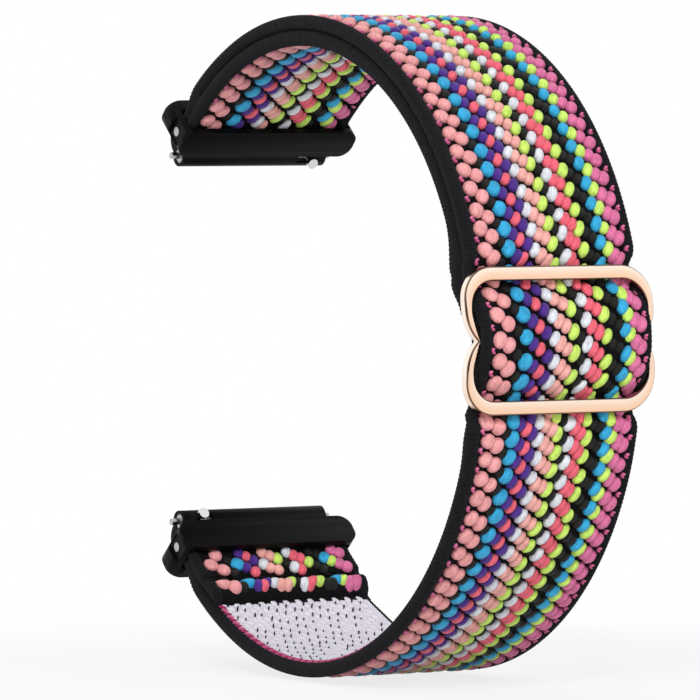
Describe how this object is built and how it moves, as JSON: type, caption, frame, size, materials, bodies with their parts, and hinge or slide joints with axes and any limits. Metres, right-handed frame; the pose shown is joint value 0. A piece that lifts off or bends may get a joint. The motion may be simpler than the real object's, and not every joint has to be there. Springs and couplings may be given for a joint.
{
  "type": "braided loop watch strap",
  "caption": "Elastic braided loop watch strap with a metal adjusting slider and two quick-release connectors that snap between watch lugs.",
  "frame": {"origin": "halfway between the two spring bar axes, in the middle of the strap's width, where the watch sits", "axes": "+X from the watch seat to the slider, +Y across the strap along the spring bars, +Z from the lower connector to the upper connector"},
  "size_m": [0.0705, 0.0252, 0.0766],
  "materials": {
    "braided_webbing": "braided elastic polyester yarn, black edges, many-coloured columns",
    "sewing_thread": "matte sewn thread",
    "slider_gold": "polished rose gold plating on stainless steel",
    "connector_black": "satin black coated steel",
    "bar_steel": "turned stainless steel",
    "knob_steel": "polished stainless steel",
    "spring_steel": "bright spring wire"
  },
  "bodies": {
    "band": {"lower_webbing": "braided_webbing", "lower_sliding_run": "braided_webbing", "lower_turn": "braided_webbing", "fold_tail": "braided_webbing", "fold_stitching": "sewing_thread", "upper_webbing": "braided_webbing", "upper_sliding_run": "braided_webbing", "upper_turn": "braided_webbing", "inner_webbing": "braided_webbing", "inner_sliding_run": "braided_webbing"},
    "slider": {"slider_frame": "slider_gold", "threaded_webbing": "braided_webbing", "bar_wrap": "braided_webbing", "bar_wrap_stitching": "sewing_thread"},
    "upper_connector": {"upper_housing": "connector_black", "upper_cross_bar": "bar_steel", "upper_bar_tube": "bar_steel", "upper_fixed_tip": "bar_steel", "upper_bar_spring": "spring_steel"},
    "upper_release": {"upper_plunger": "bar_steel", "upper_release_knob": "knob_steel"},
    "lower_connector": {"lower_housing": "connector_black", "lower_cross_bar": "bar_steel", "lower_bar_tube": "bar_steel", "lower_fixed_tip": "bar_steel", "lower_bar_spring": "spring_steel"},
    "lower_release": {"lower_plunger": "bar_steel", "lower_release_knob": "knob_steel"}
  },
  "joints": [
    {"name": "slider_travel", "type": "hinge", "parent": "band", "child": "slider", "pos_m": [0.02865, 0, 0], "axis": [0, -1, 0], "range_deg": [-15, 15], "deforming": ["lower_sliding_run", "upper_sliding_run", "inner_sliding_run"]},
    {"name": "upper_connector_pivot", "type": "hinge", "parent": "band", "child": "upper_connector", "pos_m": [0.00235, 0, 0.02465], "axis": [0, -1, 0], "range_deg": [-6, 6]},
    {"name": "lower_connector_pivot", "type": "hinge", "parent": "band", "child": "lower_connector", "pos_m": [0.00235, 0, -0.02465], "axis": [0, 1, 0], "range_deg": [-6, 6]},
    {"name": "upper_release_slide", "type": "slide", "parent": "upper_connector", "child": "upper_release", "axis": [0, 1, 0], "range_m": [-0.0012, 0], "stiffness_N_per_m": 800, "springref_m": 0.001, "deforming": ["upper_bar_spring"]},
    {"name": "lower_release_slide", "type": "slide", "parent": "lower_connector", "child": "lower_release", "axis": [0, -1, 0], "range_m": [-0.0012, 0], "stiffness_N_per_m": 800, "springref_m": 0.001, "deforming": ["lower_bar_spring"]}
  ]
}
